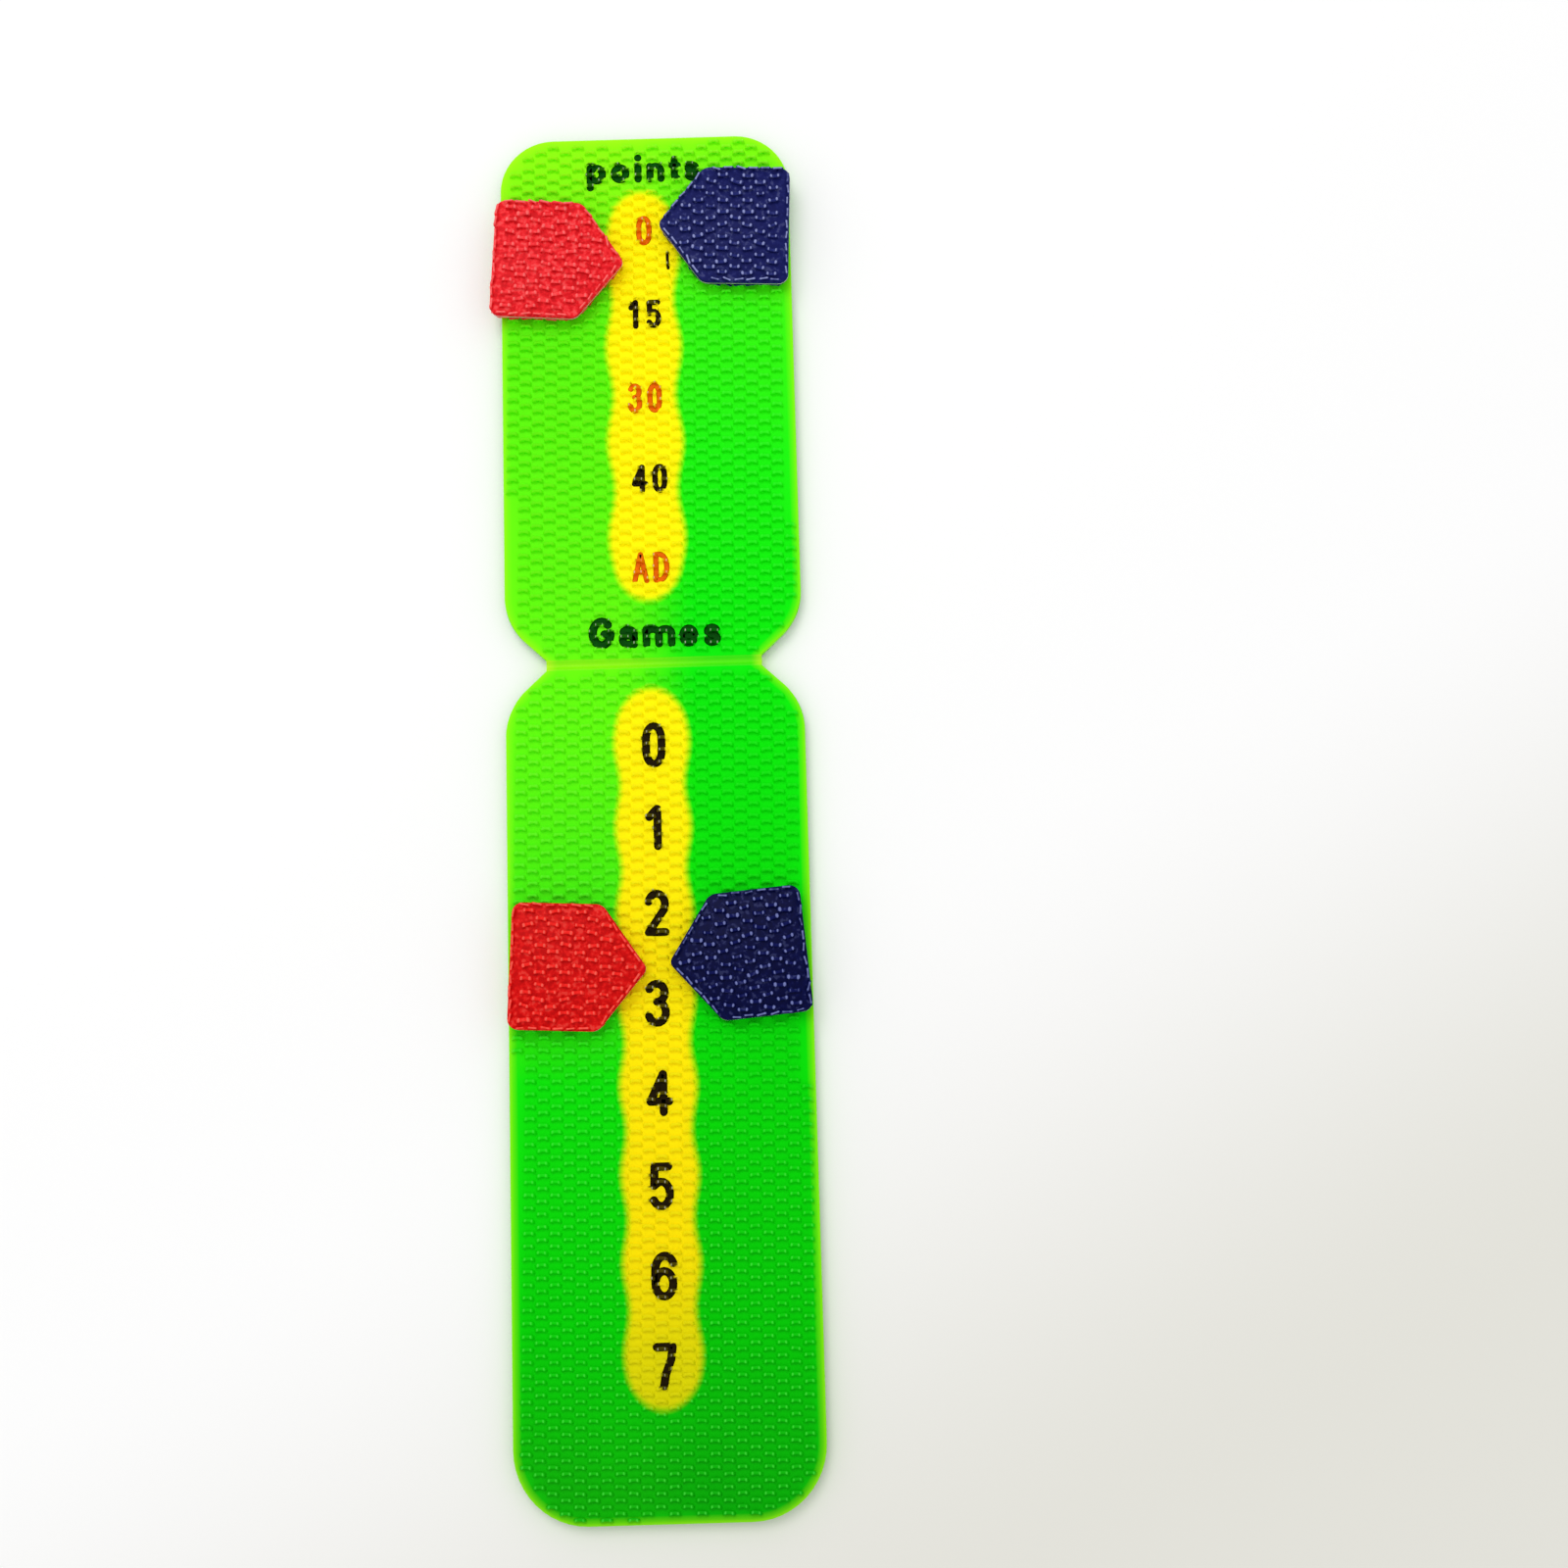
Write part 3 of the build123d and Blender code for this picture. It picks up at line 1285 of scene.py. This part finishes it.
# Middle lines of the rounded letters and numerals, in a box from nought to one
OVAL: Stroke = bow(0.5, 0.66, 0.5, 0.34, 0, 180) + bow(0.5, 0.34, 0.5, 0.34, 180, 360) + ((1.0, 0.66),)
RING: Stroke = bow(0.5, 0.5, 0.5, 0.5, 0, 360, 24)
STROKES: dict[str, tuple[Stroke, ...]] = {
    "0": (OVAL,),
    "1": (((1, 0), (1, 1)), ((1, 1), (0.6, 0.93), (0, 0.78))),
    "2": (bow(0.5, 0.72, 0.5, 0.28, 165, -30) + ((0.72, 0.45), (0, 0)), ((0, 0), (1, 0))),
    "3": (bow(0.46, 0.77, 0.5, 0.23, 155, -80), bow(0.46, 0.27, 0.54, 0.27, 90, -160)),
    "4": (((0.68, 1), (0, 0.28)), ((0, 0.28), (1, 0.28)), ((0.70, 1), (0.70, 0))),
    "5": (((0.08, 1), (0.92, 1)), ((0.08, 1), (0.05, 0.52)),
          ((0.05, 0.52),) + bow(0.47, 0.31, 0.53, 0.31, 120, -150)),
    "6": (bow(0.5, 0.31, 0.5, 0.31, 0, 360, 24), bow(0.55, 0.64, 0.55, 0.36, 30, 180) + ((0, 0.3),)),
    "7": (((0, 1), (1, 1)), ((1, 1), (0.9, 0.68), (0.55, 0.3), (0.42, 0))),
    "A": (((0, 0), (0.5, 1)), ((0.5, 1), (1, 0)), ((0.18, 0.33), (0.82, 0.33))),
    "D": (((0, 0), (0, 1)), ((0, 1),) + bow(0.35, 0.5, 0.65, 0.5, 90, -90) + ((0, 0),)),
    "G": (bow(0.5, 0.5, 0.5, 0.5, 45, 335, 20) + ((1, 0.46),), ((1, 0.46), (0.66, 0.46))),
    "a": (bow(0.5, 0.7, 0.5, 0.3, 150, 0) + ((1, 0),), bow(0.5, 0.3, 0.5, 0.3, 0, 360, 20)),
    "e": (bow(0.5, 0.5, 0.5, 0.5, 0, 320, 20), ((0, 0.5), (1, 0.5))),
    "i": (((0.5, 0), (0.5, 1)),),
    "m": (((0, 0), (0, 1)), bow(0.25, 0.7, 0.25, 0.3, 180, 0) + ((0.5, 0),),
          bow(0.75, 0.7, 0.25, 0.3, 180, 0) + ((1, 0),)),
    "n": (((0, 0), (0, 1)), bow(0.5, 0.6, 0.5, 0.4, 180, 0) + ((1, 0),)),
    "o": (RING,),
    "p": (((0, 0), (0, 1)), bow(0.5, 0.67, 0.5, 0.33, 0, 360, 24)),
    "s": (bow(0.5, 0.76, 0.46, 0.24, 25, 270) + bow(0.5, 0.26, 0.5, 0.26, 90, -155),),
    "t": (((0.4, 1), (0.4, 0.25)) + bow(0.75, 0.25, 0.35, 0.25, 180, 280), ((0, 0.74), (0.95, 0.74))),
    ".": (((0.4, 0.5), (0.6, 0.5)),),
    "|": (((0.0, 1.0), (0.3, 0.5), (1.0, 0.0)),),
}
# Least extent of a middle line, and the gap between its ends below which it is a loop
LEAST_RUN = 0.05
LOOP_GAP = 1e-4


@dataclass(frozen=True)
class Mark:
    """A rounded letter or numeral: its centre, outer width and height, ink and stroke."""

    sign: str
    x: float
    y: float
    width: float
    height: float
    tone: Ink
    stroke: float

    def outlines(self) -> list[list[tuple[float, float]]]:
        """Middle lines of its strokes, placed on the card.

        Returns:
            The points of each line.
        """
        across = max(self.width - self.stroke, LEAST_RUN)
        along = max(self.height - self.stroke, LEAST_RUN)
        return [[(self.x + (u - 0.5) * across, self.y + (v - 0.5) * along) for u, v in stroke]
                for stroke in STROKES[self.sign]]


@dataclass
class Legend:
    """Printed marks of one panel, as thin ink on the web."""

    name: str
    marks: tuple[Mark, ...]
    thickness: float = 0.012
    cap_angles: tuple[float, ...] = (30.0, 60.0, 85.0)

    def draw(self, line: list[tuple[float, float]], width: float) -> Mesh:
        """Draw one stroke as a flat bar with round ends.

        Args:
            line: Middle line of the stroke.
            width: Its width.

        Returns:
            A closed mesh.
        """
        loop = math.dist(line[0], line[-1]) < LOOP_GAP
        points = [(Vector(place), 1.0) for place in (line[:-1] if loop else line)]
        if not loop:
            caps = []
            for end, inner in ((0, 1), (-1, -2)):
                tip = Vector(line[end])
                ahead = (tip - Vector(line[inner])).normalized() * width / 2
                caps.append([(tip + ahead * math.sin(angle), math.cos(angle))
                             for angle in map(math.radians, self.cap_angles)])
            points = caps[0][::-1] + points + caps[1]
        curve = bpy.data.curves.new("stroke", "CURVE")
        curve.dimensions = "3D"
        curve.bevel_depth = width / 2
        curve.bevel_resolution = 1
        curve.use_fill_caps = True
        spline = curve.splines.new("POLY")
        spline.points.add(len(points) - 1)
        for point, (place, radius) in zip(spline.points, points):
            point.co = (place.x, place.y, 0.0, 1.0)
            point.radius = radius
        spline.use_cyclic_u = loop
        holder = bpy.data.objects.new("stroke", curve)
        bpy.context.scene.collection.objects.link(holder)
        bpy.context.view_layer.update()
        mesh = bpy.data.meshes.new_from_object(holder.evaluated_get(bpy.context.evaluated_depsgraph_get()))
        bpy.data.objects.remove(holder)
        bpy.data.curves.remove(curve)
        return mesh

    def build(self, materials: dict[Ink, Material]) -> list[tuple[Ink, BVHTree]]:
        """Build the marks, one piece for each ink.

        Args:
            materials: Material of each ink.

        Returns:
            For each ink, a tree that tells which places it covers.
        """
        trees = []
        for tone in dict.fromkeys(mark.tone for mark in self.marks):
            bm = bmesh.new()
            for mark in (m for m in self.marks if m.tone is tone):
                for line in mark.outlines():
                    mesh = self.draw(line, mark.stroke)
                    known = len(bm.verts)
                    bm.from_mesh(mesh)
                    bpy.data.meshes.remove(mesh)
                    bm.verts.ensure_lookup_table()
                    bmesh.ops.scale(bm, vec=(1, 1, self.thickness / mark.stroke), verts=bm.verts[known:])
            shift(bm, bm.verts, 0, 0, HEIGHTS.face_web_top + self.thickness / 2)
            face_out(bm)
            trees.append((tone, BVHTree.FromBMesh(bm)))
            piece = make_object(f"{self.name}_{tone.name.lower()}_marks", bm, materials[tone],
                                smooth_angle=180.0)
            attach(piece, f"{self.name}_panel")
        return trees


def stain_hooks(piece: Object, trees: list[tuple[Ink, BVHTree]], cover: float = 0.94) -> None:
    """Tint the clear hooks that stand over a mark with its ink.

    Args:
        piece: A printed sheet.
        trees: Inks and what they cover.
        cover: Share of the ink in the colour there.
    """
    spots = coordinates(piece.data).tolist()
    tints = np.zeros((len(spots), 4), np.float32)
    covers = np.zeros(len(spots), np.float32)
    for index, (x, y, _) in enumerate(spots):
        for tone, tree in trees:
            above = Vector((x, y, HEIGHTS.tab_top))
            if tree.ray_cast(above, Vector((0, 0, -1)))[0] is not None:
                tints[index] = tone.value
                covers[index] = cover
    piece.data.attributes.new("ink", "FLOAT_COLOR", "POINT").data.foreach_set("color", tints.ravel())
    piece.data.attributes.new("cover", "FLOAT", "POINT").data.foreach_set("value", covers)


# The studio


@dataclass
class Studio:
    """Pale floor, soft light and the camera above the card.

    The floor pales from its near tone to its far one over the fade, which is measured along a direction
    turned from Y by the lean; its darker near tone is painted shade. The camera's clipping distances are in
    metres.
    """

    lens: float = 49.5
    sensor: float = 36.0
    clip: Span = (0.01, 20.0)
    camera_place: tuple[float, float, float] = (10.607, -37.264, 178.65)
    camera_tilt: float = -8.5435
    camera_roll: float = 1.6713
    floor_size: float = 3000.0
    floor_drop: float = 0.02
    floor_near_shade: Colour = ink(229, 228, 220)
    floor_far: Colour = ink(254, 254, 254)
    floor_fade: Span = (-92.0, -28.0)
    floor_lean: float = -0.55
    cloud: Colour = ink(235, 234, 230)
    cloud_size: float = 60.0
    cloud_share: float = 0.06
    floor_surface: Surface = Surface(0.7, 0.2)
    world_level: float = 0.82
    key_power: float = 0.66
    key_size: float = 300.0
    key_place: tuple[float, float, float] = (-120.0, 220.0, 460.0)
    key_target: tuple[float, float, float] = (0.0, -10.0, 0.0)

    def build_camera(self) -> None:
        """Place the camera at the photographed angle."""
        data = bpy.data.cameras.new("camera")
        data.lens = self.lens
        data.sensor_width = self.sensor
        data.sensor_height = self.sensor
        data.sensor_fit = "HORIZONTAL"
        data.clip_start, data.clip_end = self.clip
        camera = bpy.data.objects.new("camera", data)
        tilt = Matrix.Rotation(math.radians(self.camera_tilt), 3, "X")
        roll = Matrix.Rotation(math.radians(self.camera_roll), 3, "Z")
        place = Matrix.Translation(Vector(self.camera_place) * MM)
        camera.matrix_world = place @ (roll @ tilt).transposed().to_4x4()
        bpy.context.scene.collection.objects.link(camera)
        bpy.context.scene.camera = camera

    def build_floor(self) -> None:
        """Lay the floor under the card."""
        bm = bmesh.new()
        bmesh.ops.create_grid(bm, x_segments=2, y_segments=2, size=self.floor_size)
        shift(bm, bm.verts, 0, 0, -self.floor_drop)
        bench = NodeBench("pale_floor")
        vector, x, y, _ = bench.place()
        # Painted shade: the floor darkens towards the near side and the right
        fade = (y + x * self.floor_lean).ease(*self.floor_fade)
        cloud = bench.noise(vector, self.cloud_size)
        tone = bench.mix(fade, self.floor_near_shade, self.floor_far)
        tone = bench.mix(cloud * self.cloud_share, tone, self.cloud)
        floor = make_object("floor", bm, bench.close(tone, cloud, self.floor_surface))

    def build_light(self) -> None:
        """Set up the even room light and one soft lamp above the upper left."""
        world = bpy.data.worlds.new("room_light")
        world.use_nodes = True
        background = world.node_tree.nodes["Background"]
        background.inputs["Color"].default_value = (1.0, 1.0, 1.0, 1.0)
        background.inputs["Strength"].default_value = self.world_level
        bpy.context.scene.world = world
        data = bpy.data.lights.new("soft_lamp", "AREA")
        data.shape = "DISK"
        data.size = self.key_size * MM
        data.energy = self.key_power
        lamp = bpy.data.objects.new("soft_lamp", data)
        place = Vector(self.key_place)
        lamp.location = place * MM
        lamp.rotation_euler = (Vector(self.key_target) - place).to_track_quat("-Z", "Y").to_euler()
        bpy.context.scene.collection.objects.link(lamp)

    def build(self) -> None:
        """Build the whole studio."""
        self.build_camera()
        self.build_floor()
        self.build_light()
        bpy.context.scene.view_settings.view_transform = "Standard"


# The whole counter


def inked(tone: Ink, stroke: float, *rows: tuple[str, float, float, float, float]) -> tuple[Mark, ...]:
    """Marks of one ink and stroke, from rows of a sign, its centre and its outer size."""
    return tuple(Mark(*row, tone, stroke) for row in rows)


POINTS_STRIPE = StripeShape(top=41.8, end=5.2, half_width=2.92, wave=0.28, wave_pitch=8.4, wave_peak=19.2)
GAMES_STRIPE = StripeShape(top=-2.07, end=-60.95, half_width=2.89, wave=0.23, wave_pitch=7.1, wave_peak=-6.8)
POINTS_MARKS = (
    *inked(Ink.GREEN_BLACK, 0.64, ("p", -4.16, 43.1, 1.70, 2.45), ("o", -2.10, 43.42, 1.66, 1.76),
           ("i", -0.53, 43.42, 0.52, 1.74), (".", -0.53, 44.82, 0.54, 0.54),
           ("n", 0.98, 43.45, 1.60, 1.80), ("t", 2.68, 43.68, 1.12, 2.22),
           ("s", 4.16, 43.48, 1.36, 1.80)),
    *inked(Ink.RED, 0.46, ("0", -0.12, 38.16, 1.34, 2.70), ("3", -1.15, 23.1, 1.20, 2.66),
           ("0", 0.51, 23.1, 1.26, 2.66)),
    *inked(Ink.RED, 0.44, ("A", -0.97, 8.22, 1.44, 2.72)),
    *inked(Ink.RED, 0.46, ("D", 0.79, 8.22, 1.38, 2.68)),
    *inked(Ink.BLACK, 0.48, ("1", -1.17, 30.6, 0.86, 2.62), ("5", 0.58, 30.6, 1.30, 2.56),
           ("4", -0.88, 15.98, 1.42, 2.50), ("0", 0.80, 15.98, 1.28, 2.56)),
    *inked(Ink.BLACK, 0.26, ("|", 1.88, 35.3, 0.32, 1.50)),
    *inked(Ink.GREEN_BLACK, 0.72, ("G", -4.36, 2.63, 2.22, 2.76)),
    *inked(Ink.GREEN_BLACK, 0.66, ("a", -2.12, 2.26, 1.62, 1.94), ("m", 0.46, 2.25, 2.78, 1.92),
           ("e", 2.97, 2.24, 1.64, 1.92), ("s", 4.94, 2.25, 1.48, 1.94)),
)
GAMES_MARKS = inked(
    Ink.BLACK, 0.67, ("0", -0.16, -7.0, 1.96, 3.86), ("1", -0.32, -13.95, 1.34, 3.80),
    ("2", -0.19, -21.05, 2.05, 3.86), ("3", -0.27, -28.48, 2.00, 3.86), ("4", -0.25, -35.78, 2.20, 3.72),
    ("5", -0.24, -43.25, 2.00, 3.82), ("6", -0.18, -50.35, 2.10, 3.86), ("7", -0.26, -57.42, 1.94, 3.70),
)
POINTERS = (
    Pointer("red_points_pointer", Side.LEFT, (-1.8, 34.825), -4.0, "red_hook_sheet", 11),
    Pointer("blue_points_pointer", Side.RIGHT, (1.15, 38.2), -2.5, "blue_hook_sheet", 23),
    Pointer("red_games_pointer", Side.LEFT, (-0.95, -25.72), -3.0, "red_hook_sheet", 37),
    Pointer("blue_games_pointer", Side.RIGHT, (0.8, -25.288), 5.0, "blue_hook_sheet", 51),
)
TAB_FACE: Span = (HEIGHTS.tab_web_top, HEIGHTS.tab_top)
CARD_BACK: Span = (HEIGHTS.back_web, 0.0)
# Each tape gives its name, its colour, the painted shade of its hollows, the pale tone of the painted
# highlights on its hook heads, their share and its hooks' heights
TAPES = {
    "red_points_pointer": TapeFinish("bright_red_tape", ink(255, 60, 66), ink(234, 26, 36),
                                     ink(255, 160, 155), 0.36, TAB_FACE, mottle=0.66),
    "red_games_pointer": TapeFinish("red_tape", ink(248, 38, 32), ink(212, 8, 9),
                                    ink(255, 150, 130), 0.34, TAB_FACE),
    "blue_points_pointer": TapeFinish("pale_navy_tape", ink(36, 43, 112), ink(21, 26, 92),
                                      ink(180, 188, 240), 0.62, TAB_FACE, mottle=0.35),
    "blue_games_pointer": TapeFinish("navy_tape", ink(10, 17, 84), ink(3, 7, 60),
                                     ink(150, 160, 222), 0.6, TAB_FACE, mottle=0.35),
    "back": TapeFinish("lime_tape", ink(118, 226, 14), ink(92, 208, 10), ink(190, 250, 90), 0.3,
                       CARD_BACK),
}


def main() -> None:
    """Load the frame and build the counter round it."""
    logging.basicConfig(level=logging.INFO, format="%(message)s")
    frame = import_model()
    Studio().build()

    tapes = {key: finish.material() for key, finish in TAPES.items()}
    bond = FilmFinish("bond_film", ink(178, 232, 40), ink(150, 226, 24)).material()
    edge = FilmFinish("print_film_edge", ink(140, 232, 24), ink(112, 222, 16)).material()
    tab_film = FilmFinish("tab_film", ink(232, 222, 214), ink(196, 186, 190)).material()
    inks = {tone: InkFinish(f"{tone.name.lower()}_ink", tone).material() for tone in Ink}

    points = CardPanel("points", PanelOutline(46.6, 4.6, 1), PrintFinish("points_print", POINTS_STRIPE))
    games = CardPanel("games", PanelOutline(69.6, 6.0, -1), PrintFinish("games_print", GAMES_STRIPE))
    for panel, marks in ((points, POINTS_MARKS), (games, GAMES_MARKS)):
        face = panel.build(frame, tapes["back"], bond, edge)
        stain_hooks(face, Legend(panel.name, marks).build(inks))
    FoldCrease().build(CreaseFinish().material())
    for pointer in POINTERS:
        pointer.build(frame, tapes[pointer.name], tab_film)


if __name__ == "__main__":
    main()
